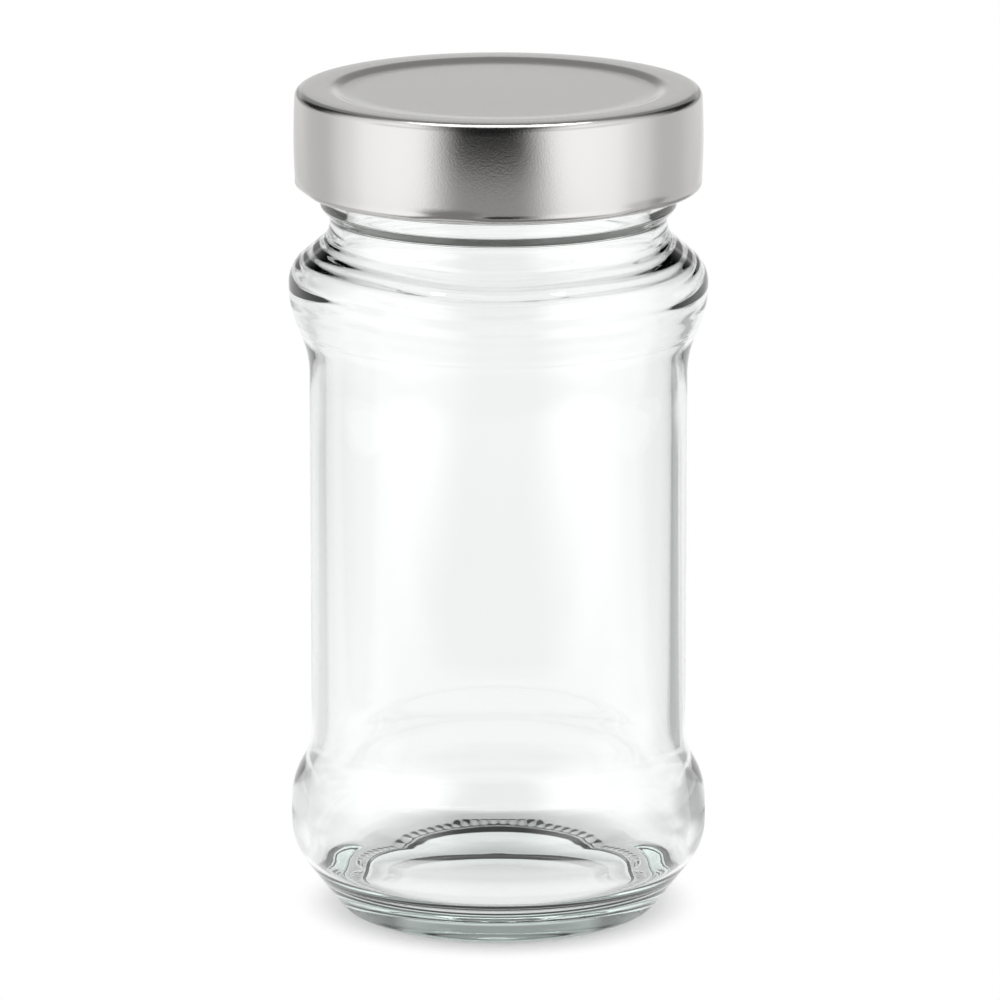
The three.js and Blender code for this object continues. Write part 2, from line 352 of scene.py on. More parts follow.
@dataclass(frozen=True)
class Nodes:
    """Shorthand for adding nodes to one node tree."""

    tree: Tree

    def new(self, kind: str, **values: float | str) -> bpy.types.Node:
        """Add a node.

        Args:
            kind: Kind of the node, without the words that all shader nodes start with.
            values: Settings of the node.

        Returns:
            The new node.
        """
        node = self.tree.nodes.new("ShaderNode" + kind)
        for name, value in values.items():
            setattr(node, name, value)
        return node

    def put(self, value: Socket | float | tuple[float, ...], place: Socket) -> None:
        """Link a socket to an input, or set the input to a value."""
        if isinstance(value, Socket):
            self.tree.links.new(value, place)
        else:
            place.default_value = value

    def fill(self, node: bpy.types.Node, values: dict[str, Socket | float | tuple[float, ...]]) -> None:
        """Link or set the named inputs of a node."""
        for name, value in values.items():
            self.put(value, node.inputs[name])

    def maths(self, op: Op, *values: Socket | float) -> Socket:
        """Add a math node.

        Args:
            op: What the node works out.
            values: Sockets to link or numbers to set, in the order of the node's inputs.

        Returns:
            Socket of the result.
        """
        node = self.new("Math", operation=op.value)
        for place, value in zip(node.inputs, values):
            self.put(value, place)
        return node.outputs["Value"]

    def product(self, first: Socket, *others: Socket | float) -> Socket:
        """Multiply a value by others.

        Args:
            first: Socket of the first value.
            others: Sockets or numbers to multiply by.

        Returns:
            Socket of the product.
        """
        for other in others:
            first = self.maths(Op.MULTIPLY, first, other)
        return first

    def dimmed(self, level: Socket, depth: Socket) -> Socket:
        """Level times one less the depth."""
        return self.product(level, self.maths(Op.SUBTRACT, 1.0, depth))

    def unsigned(self, value: Socket) -> Socket:
        """Value without its sign."""
        return self.maths(Op.ABSOLUTE, value)

    def across(self, x: Socket, y: Socket) -> Socket:
        """Distance to the upright plane that the turned front lies in."""
        return self.unsigned(self.maths(Op.MULTIPLY_ADD, y, -SKEW, x))

    def white_to_eye(self, level: Socket) -> Socket:
        """Level that is white at least where the eye meets it first."""
        path = self.new("LightPath")
        return self.maths(Op.MAXIMUM, level, path.outputs["Is Camera Ray"])

    def axes(self, space: str) -> tuple[Socket, Socket, Socket]:
        """Parts of a texture coordinate.

        Args:
            space: Name of the coordinate.

        Returns:
            Sockets of its X, Y and Z.
        """
        parts = self.new("SeparateXYZ")
        self.put(self.new("TexCoord").outputs[space], parts.inputs["Vector"])
        return parts.outputs["X"], parts.outputs["Y"], parts.outputs["Z"]

    def distance(self) -> Socket:
        """Distance to the object's origin."""
        away = self.new("VectorMath", operation="LENGTH")
        self.put(self.new("TexCoord").outputs["Object"], away.inputs[0])
        return away.outputs["Value"]

    def ramp(
        self, value: Socket, span: Pair, levels: Pair = RISING, kind: Ramp = Ramp.SMOOTH
    ) -> Socket:
        """Ramp of a value.

        Args:
            value: Socket of the value.
            span: Values where the ramp starts and ends.
            levels: Levels before and after it.
            kind: How the ramp climbs.

        Returns:
            Socket of the ramp's level.
        """
        node = self.new("MapRange", interpolation_type=kind.value)
        names = ("Value", "From Min", "From Max", "To Min", "To Max")
        self.fill(node, dict(zip(names, (value, *span, *levels))))
        return node.outputs["Result"]

    def curve(self, value: Socket, knots: tuple[Pair, ...], peak: float) -> Socket:
        """Smooth curve through knots, for a value from -1 to 1.

        The ramp node takes (value + 1) / 2 and gives level / peak.

        Args:
            value: Socket of the value.
            knots: Values and levels, in rising order.
            peak: Level that the curve is scaled by, no less than any knot's.

        Returns:
            Socket of the curve's level.
        """
        share = self.maths(Op.MULTIPLY_ADD, value, 0.5, 0.5)
        node = self.new("ValToRGB")
        node.color_ramp.interpolation = "EASE"
        stops = node.color_ramp.elements
        while len(stops) < len(knots):
            stops.new(0.5)
        for stop, (place, level) in zip(stops, knots):
            stop.position = place / 2 + 0.5
            stop.color = (*(3 * [level / peak]), 1)
        self.put(share, node.inputs["Fac"])
        return self.product(node.outputs["Color"], peak)

    def two_tone(self, share: Socket, first: Triple, second: Triple) -> Socket:
        """Colour that goes from one to another.

        Args:
            share: Socket of the second colour's share.
            first: Colour at share 0.
            second: Colour at share 1.

        Returns:
            Socket of the colour.
        """
        node = self.new("ValToRGB")
        for stop, colour in zip(node.color_ramp.elements, (first, second)):
            stop.color = (*colour, 1)
        self.put(share, node.inputs["Fac"])
        return node.outputs["Color"]

    def noise(self, scale: float, detail: float) -> Socket:
        """Noise in object space.

        Args:
            scale: Waves of the noise in a metre.
            detail: Octaves of the noise.

        Returns:
            Socket of the noise's level.
        """
        node = self.new("TexNoise")
        place = self.new("TexCoord").outputs["Object"]
        self.fill(node, {"Vector": place, "Scale": scale, "Detail": detail})
        return node.outputs["Fac"]

    def bump(self, level: Socket, strength: float, height: float) -> Socket:
        """Direction of a surface that a level stands up from.

        Args:
            level: Socket of the level.
            strength: Strength of the bump.
            height: Height of the bump in metres.

        Returns:
            Socket of the direction.
        """
        node = self.new("Bump")
        self.fill(node, {"Height": level, "Strength": strength, "Distance": height})
        return node.outputs["Normal"]


def fresh_material(name: str) -> tuple[bpy.types.Material, Nodes, bpy.types.Node]:
    """A new node material.

    Args:
        name: Name of the material.

    Returns:
        The material, its nodes and its Principled shader.
    """
    material = bpy.data.materials.new(name)
    material.use_nodes = True
    tree = material.node_tree
    return material, Nodes(tree), tree.nodes["Principled BSDF"]


@dataclass(frozen=True)
class GlassFinish:
    """Clear soda-lime glass with a faint green cast where it is thick."""

    ior: float = 1.52
    roughness: float = 0.0
    cast: Triple = (0.12, 0.75, 0.55)
    cast_density: float = 3.4
    ripple_scale: float = 60.0
    ripple_detail: float = 2.0
    ripple_strength: float = 0.06
    ripple_height: float = 0.0002

    def material(self) -> bpy.types.Material:
        """Refracting glass with a faint ripple, whose volume takes up some red and less blue.

        Returns:
            The new material.
        """
        material, nodes, shader = fresh_material("clear_glass")
        ripple = nodes.noise(self.ripple_scale, self.ripple_detail)
        nodes.fill(shader, {
            "Base Color": WHITE,
            "Roughness": self.roughness,
            "IOR": self.ior,
            "Transmission Weight": 1.0,
            "Normal": nodes.bump(ripple, self.ripple_strength, self.ripple_height),
        })
        absorption = nodes.new("VolumeAbsorption")
        nodes.fill(absorption, {"Color": (*self.cast, 1), "Density": self.cast_density})
        output = nodes.tree.nodes["Material Output"]
        nodes.put(absorption.outputs["Volume"], output.inputs["Volume"])
        return material


@dataclass(frozen=True)
class TinplateFinish:
    """Satin silver lacquer on rolled tinplate, with a fine even grain, and a pale lacquer inside."""

    colour: Triple = (0.56, 0.55, 0.54)
    roughness: float = 0.19
    roughness_spread: float = 0.05
    grain_scale: float = 3000.0
    grain_detail: float = 3.0
    grain_strength: float = 0.25
    grain_height: float = 0.00005
    lining: Triple = (0.66, 0.65, 0.63)

    def material(self) -> bpy.types.Material:
        """Metal with a fine noise in object space, under lacquer where the mesh says it is lined.

        Returns:
            The new material.
        """
        material, nodes, shader = fresh_material("silver_tinplate")
        lined = nodes.new("Attribute", attribute_name="lining").outputs["Fac"]
        grain = nodes.noise(self.grain_scale, self.grain_detail)
        spread = (self.roughness - self.roughness_spread, self.roughness + self.roughness_spread)
        nodes.fill(shader, {
            "Base Color": nodes.two_tone(lined, self.colour, self.lining),
            "Metallic": nodes.ramp(lined, RISING, FALLING, Ramp.LINEAR),
            "Roughness": nodes.ramp(grain, RISING, spread, Ramp.LINEAR),
            "Normal": nodes.bump(grain, self.grain_strength, self.grain_height),
        })
        return material


@dataclass(frozen=True)
class CompoundFinish:
    """Matt off-white sealing compound."""

    colour: Triple = (0.72, 0.69, 0.62)
    shade: Triple = (0.66, 0.63, 0.56)
    roughness: float = 0.55
    cloud_scale: float = 260.0
    cloud_detail: float = 2.0

    def material(self) -> bpy.types.Material:
        """Soft plastic with a faint cloudy colour.

        Returns:
            The new material.
        """
        material, nodes, shader = fresh_material("seal_compound")
        cloud = nodes.noise(self.cloud_scale, self.cloud_detail)
        colour = nodes.two_tone(cloud, self.shade, self.colour)
        nodes.fill(shader, {"Base Color": colour, "Roughness": self.roughness})
        return material


@dataclass
class GlassJar:
    """The moulded glass: foot, heel, bands, label panel, shoulder, neck and lug-thread finish."""

    band: float = 35.85
    label: float = 32.35
    foot: float = 25.95
    foot_width: float = 2.2
    foot_round: float = 2.2
    foot_inner_round: float = 0.6
    foot_inner_turn: float = 150.0
    push_up: float = 1.6
    heel_lean: float = 37.3
    heel_round: float = 10.4
    base_band: float = 3.3
    lower_sweep: float = 13.0
    label_height: float = 62.6
    upper_sweep: float = 15.7
    shoulder_band: float = 0.2
    shoulder_round: float = 5.6
    shoulder_lean: float = 49.5
    neck: float = 28.8
    neck_round: float = 4.0
    neck_band: float = 0.75
    wall: float = 2.6
    base_wall: float = 2.4
    shoulder_wall: float = 2.5
    bore: Pair = (25.9, 11.5)
    neck_in: Pair = (26.6, 6.6)
    shoulder_in: Pair = (34.0, 2.2)
    inside_soft: float = 1.6
    edge_soft: float = 0.25
    wave_depth: float = 0.075
    wave_length: float = 2.8
    wave_lean: float = 0.6
    wave_drifts: tuple[Triple, ...] = ((1.1, 2.0, 40.0), (0.7, 5.0, 130.0))
    wave_start: Pair = (104.0, 109.0)
    wave_end: Pair = (116.0, 119.0)
    floor: float = 6.2
    floor_rim: float = 7.2
    floor_edge: float = 29.8
    floor_points: int = 24
    heel_bulge: float = 1.5
    ring: float = 30.45
    ring_lean: float = 45.0
    ring_fillet: float = 1.6
    ring_round: float = 0.9
    ring_band: float = 1.9
    finish: float = 30.9
    finish_flare: float = 1.0
    finish_height: float = 16.0
    crown_round: float = 1.1
    lip_round: float = 2.6
    lugs: int = 6
    lug_front: float = -13.5
    lug_ahead: float = 15.0
    lug_gap: float = 0.17
    lead: float = 18.0
    thread_depth: float = 1.2
    thread_root: float = 1.2
    thread_half: float = 0.72
    thread_span: float = 50.0
    thread_fade: float = 0.14
    thread_margin: Pair = (0.2, 2.0)
    thread_zone: Pair = (0.3, 9.0)
    crease: float = 0.05
    crease_up: float = 8.6
    crease_half: float = 0.35
    crease_zone: float = 1.2
    knurls: int = 90
    knurl_depth: float = 0.11
    knurl_ring: Pair = (23.6, 26.8)
    knurl_margin: float = 0.5
    columns: int = 216
    point_turn: float = 7.0
    plain_step: float = 2.4
    thread_step: float = 0.16
    crease_step: float = 0.2
    wave_step: float = 0.4
    knurl_step: float = 0.3

    def foot_line(self) -> Array:
        """Underside from the axis to the foot ring, and the heel up to the base band.

        The underside is a dome, an arc whose radius is (edge squared + rise squared) / (2 rise).

        Returns:
            Points (radius, height) from the axis to the base band.
        """
        inner_r = self.foot - self.foot_width
        inner = arc(inner_r, self.foot_inner_round, self.foot_inner_round, -self.foot_inner_turn, -90)
        edge_r, edge_z = inner[0]
        rise = self.push_up - edge_z
        dome = (edge_r**2 + rise**2) / (2 * rise)
        spread = np.degrees(np.arcsin(edge_r / dome))
        painted_under = arc(0, self.push_up - dome, dome, 90, 90 - spread)[:-1]
        foot = arc(self.foot, self.foot_round, self.foot_round, -90, -self.heel_lean)
        lean = np.radians(self.heel_lean)
        start_r = self.band - self.heel_round * (1 - np.cos(lean))
        start_z = foot[-1, 1] + (start_r - foot[-1, 0]) / np.tan(lean)
        centre_z = start_z + self.heel_round * np.sin(lean)
        heel = arc(self.band - self.heel_round, centre_z, self.heel_round, -self.heel_lean, 0)
        return np.concatenate([painted_under, inner, foot, heel])

    def body_line(self, waist: float) -> Array:
        """Outside wall from the waist of the base band to the neck.

        Args:
            waist: Height where the base band ends.

        Returns:
            Points (radius, height) from the waist up to the neck.
        """
        lower = ogee((self.band, waist), self.label, self.lower_sweep)
        top = waist + self.lower_sweep + self.label_height
        upper = ogee((self.label, top), self.band, self.upper_sweep)
        shoulder = (self.band, top + self.upper_sweep + self.shoulder_band)
        neck = sweep(shoulder, self.neck, self.shoulder_lean, self.shoulder_round, self.neck_round)
        return np.concatenate([lower, upper, neck])

    def inside_line(self, lip: Array, band: float) -> Array:
        """Inside from the lip down to the middle of the floor, rounded as blown glass is.

        The floor is the parabola floor + (floor_rim - floor) (radius / floor_edge) squared.

        Args:
            lip: Radius and height where the rim's round ends.
            band: Height where the base band starts.

        Returns:
            Points (radius, height) from the lip to the axis.
        """
        waist = band + self.base_band
        label_end = waist + self.lower_sweep + self.label_height
        shoulder = label_end + self.upper_sweep
        corners = np.array([self.bore, self.neck_in, self.shoulder_in]) + [0.0, shoulder]
        label, base = self.label - self.wall, self.band - self.base_wall
        upper = ogee((label, label_end), self.band - self.shoulder_wall, self.upper_sweep)[::-1]
        lower = ogee((base, waist), label, self.lower_sweep)[::-1]
        top = np.array([base, band])
        low = np.array([self.floor_edge, self.floor_rim])
        along = (low - top) / np.linalg.norm(low - top)
        middle = (top + low) / 2 + self.heel_bulge * np.array([-along[1], along[0]])
        across = np.linspace(self.floor_edge, 0, self.floor_points)
        dome = self.floor + (self.floor_rim - self.floor) * (across / self.floor_edge) ** 2
        floor = np.stack([across, dome], axis=1)
        line = np.concatenate([[lip], corners, upper, lower, [top, middle], floor])
        return softened(evened(line, FINE_STEP), self.inside_soft)

    def outline(self) -> Array:
        """Whole outline, from the axis under the jar over the outside and the rim to the inside floor.

        The crease is a groove in the outside, whose depth falls off as a bell with the distance to it.

        Returns:
            Points (radius, height), closer together where the shape needs it.
        """
        foot = self.foot_line()
        waist = foot[-1, 1] + self.base_band
        outside = self.body_line(waist)
        neck_top = outside[-1, 1] + self.neck_band
        ring = sweep((self.neck, neck_top), self.ring, self.ring_lean, self.ring_fillet, self.ring_round)
        ring_top = ring[-1, 1] + self.ring_band
        rim = ring_top + self.finish_flare + self.finish_height
        crown = self.finish - self.crown_round
        over = np.concatenate([
            [[self.ring, ring_top], [self.finish, ring_top + self.finish_flare]],
            arc(crown, rim - self.crown_round, self.crown_round, 0, 90),
            arc(crown, rim - self.lip_round, self.lip_round, 90, 180),
        ])
        inside = self.inside_line(over[-1], foot[-1, 1])
        line = np.concatenate([foot, outside, ring, over, inside])
        fine = softened(evened(line, FINE_STEP), self.edge_soft)
        fine[[0, -1], 0] = 0.0
        from_crease = fine[:, 1] - waist - self.lower_sweep - self.label_height - self.crease_up
        from_crease[np.argmax(fine[:, 1]) :] = np.inf
        fine[:, 0] -= self.crease * np.exp(-((from_crease / self.crease_half) ** 2))
        return thinned(fine, self.point_turn, self.steps(fine, from_crease, ring_top))

    def steps(self, fine: Array, from_crease: Array, ring_top: float) -> Array:
        """Allowed distance between points, small on the ramps, the crease, the flow marks and the notches.

        Args:
            fine: Points (radius, height) of the fine outline.
            from_crease: Height of each point over the crease.
            ring_top: Height where the finish starts.

        Returns:
            The distance for each point.
        """
        radius, height = fine.T
        beside, above = self.thread_zone
        threaded = (radius > self.finish - beside) & (height > ring_top) & (height < ring_top + above)
        step = np.where(threaded, self.thread_step, self.plain_step)
        step[np.abs(from_crease) < self.crease_zone] = self.crease_step
        waved = (height > self.wave_start[0]) & (height < self.wave_end[1])
        step[waved & (np.arange(len(fine)) > np.argmax(height))] = self.wave_step
        notched = (radius > self.knurl_ring[0] - self.knurl_margin) & (height < self.foot_round)
        step[notched] = self.knurl_step
        return step

    def knurl(self, turn: Array, radius: Array) -> Array:
        """Lift of the notches in the foot: a raised cosine round the ring times one across it.

        Args:
            turn: Angles round the axis in degrees.
            radius: Radii of the foot's points.

        Returns:
            Height of the notches, rows by columns.
        """
        inner, outer = self.knurl_ring
        across = np.clip((radius - inner) / (outer - inner), 0, 1)
        wave = 0.5 - 0.5 * np.cos(np.radians(self.knurls * turn))
        return self.knurl_depth * wave * np.sin(np.pi * across) ** 2

    def waves(self, turn: Array, radius: Array, height: Array) -> Array:
        """Flow marks of blown glass on the inside of the shoulder.

        They are sine waves up the wall. Their phase drifts round the jar by a sum of sines, each given
        by its size, its waves in a turn and its start in degrees. They fade in and out with the height.

        Args:
            turn: Angles round the axis in degrees.
            radius: Radii of the wall's points.
            height: Heights of the wall's points.

        Returns:
            Change of the radius, rows by columns.
        """
        along = height - self.wave_lean * radius
        sines = [size * np.sin(np.radians(n * turn + start)) for size, n, start in self.wave_drifts]
        drift = sum(sines)
        fade = smooth_step(height, *self.wave_start) * (1 - smooth_step(height, *self.wave_end))
        return self.wave_depth * np.sin(2 * np.pi * along / self.wave_length + drift) * fade

    def thread(self, turn: Array, height: Array, low: float) -> Array:
        """Height of the ramps over the finish wall.

        Each ramp is a rounded ridge, depth times the root of the cosine of the distance to its middle
        line, which climbs by the lead in a turn. Its height fades in and out over a share of its length.

        Args:
            turn: Angles round the axis in degrees.
            height: Heights of the wall's points.
            low: Height of the middle line at the low end of a ramp.

        Returns:
            Radial height of the ramps, rows by columns.
        """
        pitch = FULL_TURN / self.lugs
        along = ((turn - self.lug_front + self.lug_ahead) % pitch) / self.thread_span
        middle = low + self.lead * self.thread_span * along / FULL_TURN
        across = np.clip(np.abs(height - middle) / self.thread_half, 0, 1)
        ends = smooth_step(np.minimum(along, 1 - along), 0.0, self.thread_fade)
        return self.thread_depth * np.sqrt(np.cos(across * np.pi / 2)) * ends

    def build(self, thread_low: float) -> bpy.types.Object:
        """The jar as one closed surface.

        Args:
            thread_low: Height of the ramps' middle line at their low end.

        Returns:
            The jar's object.
        """
        line = self.outline()
        start = int(np.argmax(line[:, 0] > self.knurl_ring[0]))
        end = start + int(np.argmax(line[start:, 0] > self.knurl_ring[1]))
        painted_under = round_grid(line[:start], self.columns)
        radius, height = round_grid(line[start:end], FINER * self.columns)
        notched = radius, height + self.knurl(angles(FINER * self.columns), radius)
        radius, height = round_grid(line[end:], self.columns)
        turn = angles(self.columns)
        beside, below = self.thread_margin
        on_finish = (radius > self.finish - beside) & (height > thread_low - below)
        ramps = self.thread(turn, height, thread_low)
        inside = np.arange(len(radius))[:, None] > np.argmax(height[:, 0])
        waves = self.waves(turn, radius, height)
        upper = radius + ramps * on_finish + waves * inside, height
        return turned_mesh("jar_glass", [painted_under, notched, upper], False)


@dataclass
class TwistOffLid:
    """The pressed lid: sunk panel, raised band, corner, skirt and a rolled edge pressed in to lugs."""

    radius: float = 34.7
    top: float = 143.5025
    height: float = 17.0
    sheet: float = 0.22
    corner: float = 1.45
    crown: float = 0.20
    bead: float = 0.06
    bead_height: float = 1.5
    rim_width: float = 5.8
    panel_depth: float = 0.55
    panel_step: float = 2.6
    curl: float = 1.15
    curl_end: float = 285.0
    lugs: int = 6
    lug_front: float = -13.5
    lug_tip: float = 31.25
    lug_thick: float = 0.8
    lug_width: float = 13.0
    lug_sides: Pair = (5.0, 8.5)
    dent: float = 0.45
    dent_sides: Pair = (2.0, 12.5)
    dent_rise: float = 2.4
    columns: int = 288
    skirt_points: int = 40
    edge_soft: float = 0.16
    edge_zone: float = 4.0
    edge_step: float = 0.5
    skirt_step: float = 2.0
    flat_zone: float = 2.0
    flat_step: float = 6.0
    curl_margin: float = 0.2
    point_turn: float = 6.0

    @property
    def bottom(self) -> float:
        """Height of the lower edge."""
        return self.top - self.height

    def outline(self) -> tuple[Array, int]:
        """Outline of the sheet, over the outer side and back along the inner side.

        The skirt bulges by the crown as a parabola of its height. The inner side is the outer one set
        in square to it by the sheet's thickness.

        Returns:
            Points (radius, height), and how many of them are on the outer side.
        """
        rim = self.radius - self.rim_width
        skirt = self.radius - self.bead
        panel = self.top - self.panel_depth
        share = np.linspace(0, 1, self.skirt_points)
        upright = self.top - self.corner - share * (self.height - self.corner - self.bead_height)
        step = ogee((panel, rim - self.panel_step), self.top, self.panel_step)[:, ::-1]
        line = np.concatenate([
            [[0.0, panel]],
            step,
            arc(skirt - self.corner, self.top - self.corner, self.corner, 90, 0),
            np.stack([skirt + self.crown * (1 - (2 * share - 1) ** 2), upright], axis=1),
            arc(self.radius - self.curl, self.bottom + self.curl, self.curl, 0, -self.curl_end),
        ])
        fine = softened(evened(line, FINE_STEP), self.edge_soft)
        fine[0, 0] = 0.0
        point_step = np.where(fine[:, 1] < self.bottom + self.edge_zone, self.edge_step, self.skirt_step)
        point_step[fine[:, 0] < rim - self.flat_zone] = self.flat_step
        outer = thinned(fine, self.point_turn, point_step)
        run = np.gradient(outer, axis=0)
        run /= np.linalg.norm(run, axis=1)[:, None]
        inner = outer + self.sheet * np.stack([run[:, 1], -run[:, 0]], axis=1)
        inner[0, 0] = 0.0
        return np.concatenate([outer, inner[::-1]]), len(outer)

    def build(self) -> bpy.types.Object:
        """The lid as one closed sheet.

        The edge is pressed in by a bell round each lug, which fades out up the skirt. On the inner half
        of the curl the section is squeezed flat and stretched to the tip of the lug. The points of the
        inner side are marked by the attribute lining.

        Returns:
            The lid's object.
        """
        line, outer_rows = self.outline()
        turn = angles(self.columns)
        aside = np.abs(aside_of_lugs(turn, self.lug_front, self.lugs))
        radius, height = round_grid(line, self.columns)
        near = 1 - smooth_step(aside, *self.dent_sides)
        low = 1 - smooth_step(height, self.bottom, self.bottom + self.dent_rise)
        middle = self.radius - self.curl
        on_curl = (height < self.bottom + 2 * self.curl + self.curl_margin) & (radius < middle)
        tongue = (1 - smooth_step(aside, *self.lug_sides)) * on_curl
        stretch = (middle - self.lug_tip) / self.curl
        flat = self.bottom + (height - self.bottom) * self.lug_thick / (2 * self.curl)
        radius = radius + tongue * (middle - (middle - radius) * stretch - radius)
        height = height + tongue * (flat - height)
        radius = radius - self.dent * near * low * (1 - tongue)
        made = turned_mesh("lid_tinplate", [(radius, height)], False)
        inner = (np.arange(len(line)) >= outer_rows).astype(np.float32)
        lined = np.concatenate([inner[:1], np.repeat(inner[1:-1], self.columns), inner[-1:]])
        made.data.attributes.new("lining", "FLOAT", "POINT").data.foreach_set("value", lined)
        return made


@dataclass
class SealRing:
    """The flowed-in ring in the channel of the lid, with the print of the rim in its underside."""

    crown: float = 29.8
    rim: float = 142.0726
    gap: float = 0.08
    lip_round: float = 2.6
    crown_round: float = 1.1
    overlap: float = 1.3
    width: float = 4.4
    thick: float = 0.98
    squash: float = 0.36
    edge_round: float = 0.7
    chamfer: float = 0.77
    columns: int = 192
    edge_soft: float = 0.1
    point_turn: float = 14.0
    point_step: float = 0.9

    def build(self) -> bpy.types.Object:
        """The ring as one closed surface round its section.

        Returns:
            The ring's object.
        """
        inner = self.crown - self.overlap
        outer = inner + self.width
        top = self.rim + self.gap + self.thick
        lip = self.lip_round + self.gap
        crown = self.crown_round + self.gap
        lip_end = 180 - np.degrees(np.arccos(self.overlap / lip))
        crown_end = np.degrees(np.arcsin(1 - self.squash / crown))
        line = np.concatenate([
            arc(self.crown, self.rim - self.lip_round, lip, lip_end, 90),
            arc(self.crown, self.rim - self.crown_round, crown, 90, crown_end),
            [[outer, self.rim + self.gap - self.squash]],
            arc(outer - self.edge_round, top - self.edge_round, self.edge_round, 0, 90),
            [[inner + self.chamfer, top], [inner, top - self.chamfer]],
        ])
        ring = np.concatenate([line, line[:1]])
        fine = softened(evened(ring, FINE_STEP), self.edge_soft)[:-1]
        kept = thinned(fine, self.point_turn, np.full(len(fine), self.point_step))
        return turned_mesh("lid_seal", [round_grid(kept, self.columns)], True)


@dataclass(frozen=True)
class Floor:
    """Pale sheet the jar stands on: it takes the jar's shadow and is white to the eye.

    What the jar mirrors of it is painted light and shade: a painted dim front, painted bright sides
    that glow past white, and a painted grey card on each side behind the jar. Under the foot a
    painted glow stands in for the light that comes through the glass.
    """

    box: tuple[float, float, float, float] = (-0.38, -0.95, 0.38, 2.6)
    drop: float = 0.0002
    colour: float = 0.70
    glow: float = 0.30
    front_level: float = 0.30
    front_fade: Pair = (-0.11, -0.05)
    near_level: float = 0.20
    near_fade: Pair = (-0.46, -0.28)
    end_fade: Pair = (-0.95, -0.58)
    side_levels: Pair = (1.5, 0.84)
    side_fade: Pair = (-0.20, 0.0)
    side_edge: Pair = (0.27, 0.88)
    side_reach: float = 0.35
    painted_card_lean: float = 32.0
    painted_card_edge: Pair = (0.0, 0.02)
    painted_card_start: Pair = (0.02, 0.05)
    painted_card_end: Pair = (0.28, 0.34)
    painted_card_middle: Pair = (-0.01, 0.01)
    painted_card_depths: Pair = (0.20, 0.50)
    shadow_fade: Pair = (0.024, 0.036)
    painted_under_glow: float = 0.9
    painted_under_fade: Pair = (0.0205, 0.0245)

    def light(self, nodes: Nodes) -> Socket:
        """Brightness of the sheet: painted light and shade for what the jar mirrors, and white to the eye.

        Args:
            nodes: Nodes of the sheet's material.

        Returns:
            Socket of the brightness.
        """
        x, y, _ = nodes.axes("Object")
        # Painted reflections: the sheet is dim in front of the jar, a little lighter far ahead and black
        # at the front end
        light = nodes.ramp(y, self.front_fade, (self.front_level, 1.0))
        light = nodes.maths(Op.ADD, light, nodes.ramp(y, self.near_fade, (self.near_level, 0.0)))
        light = nodes.product(light, nodes.ramp(y, self.end_fade))
        # Painted reflections: the sheet glows brighter toward the sides, past white in front of the jar
        ahead = nodes.maths(Op.MAXIMUM, nodes.product(y, -1.0), self.side_reach)
        edge = nodes.ramp(nodes.maths(Op.DIVIDE, nodes.across(x, y), ahead), self.side_edge)
        sides = nodes.ramp(y, self.side_fade, self.side_levels)
        rest = nodes.product(nodes.maths(Op.SUBTRACT, sides, light), edge)
        light = nodes.maths(Op.ADD, light, rest)
        # Painted grey cards: the sheet is darkened behind the jar on each side, where no card stands
        lean = float(np.tan(np.radians(self.painted_card_lean)))
        beside = nodes.maths(Op.MULTIPLY_ADD, y, -lean, nodes.unsigned(x))
        painted_card = nodes.product(
            nodes.ramp(beside, self.painted_card_edge),
            nodes.ramp(y, self.painted_card_start),
            nodes.ramp(y, self.painted_card_end, FALLING),
            nodes.ramp(x, self.painted_card_middle, self.painted_card_depths),
        )
        return nodes.white_to_eye(nodes.dimmed(light, painted_card))

    def build(self) -> None:
        """The sheet, which takes shadow near the jar and glows farther off, with a painted glow under the
        foot.
        """
        left, front, right, back = self.box
        corners = np.array([[left, front], [right, front], [right, back], [left, back]])
        points = np.column_stack([corners, np.full(len(corners), -self.drop)])
        made = mesh_object("floor", points, np.array([[0, 1, 2, 3]]), np.zeros((0, 3), int))
        material, nodes, shader = fresh_material("white_floor")
        light = self.light(nodes)
        nodes.fill(shader, {
            "Base Color": nodes.product(light, self.colour),
            "Roughness": 1.0,
            "Specular IOR Level": 0.0,
            "Emission Color": WHITE,
            "Emission Strength": nodes.product(light, self.glow),
        })
        glow = nodes.new("Emission")
        nodes.put(light, glow.inputs["Strength"])
        away = nodes.distance()
        far = nodes.ramp(away, self.shadow_fade)
        # Painted light under the foot: the sheet glows there instead of taking shadow, for light that
        # comes through the glass
        painted_under = nodes.ramp(away, self.painted_under_fade, (self.painted_under_glow, 0.0))
        blend = nodes.new("MixShader")
        share = nodes.maths(Op.MAXIMUM, far, painted_under)
        shaders = (share, shader.outputs["BSDF"], glow.outputs["Emission"])
        for value, place in zip(shaders, blend.inputs):
            nodes.put(value, place)
        nodes.put(blend.outputs["Shader"], nodes.tree.nodes["Material Output"].inputs["Surface"])
        made.data.materials.append(material)


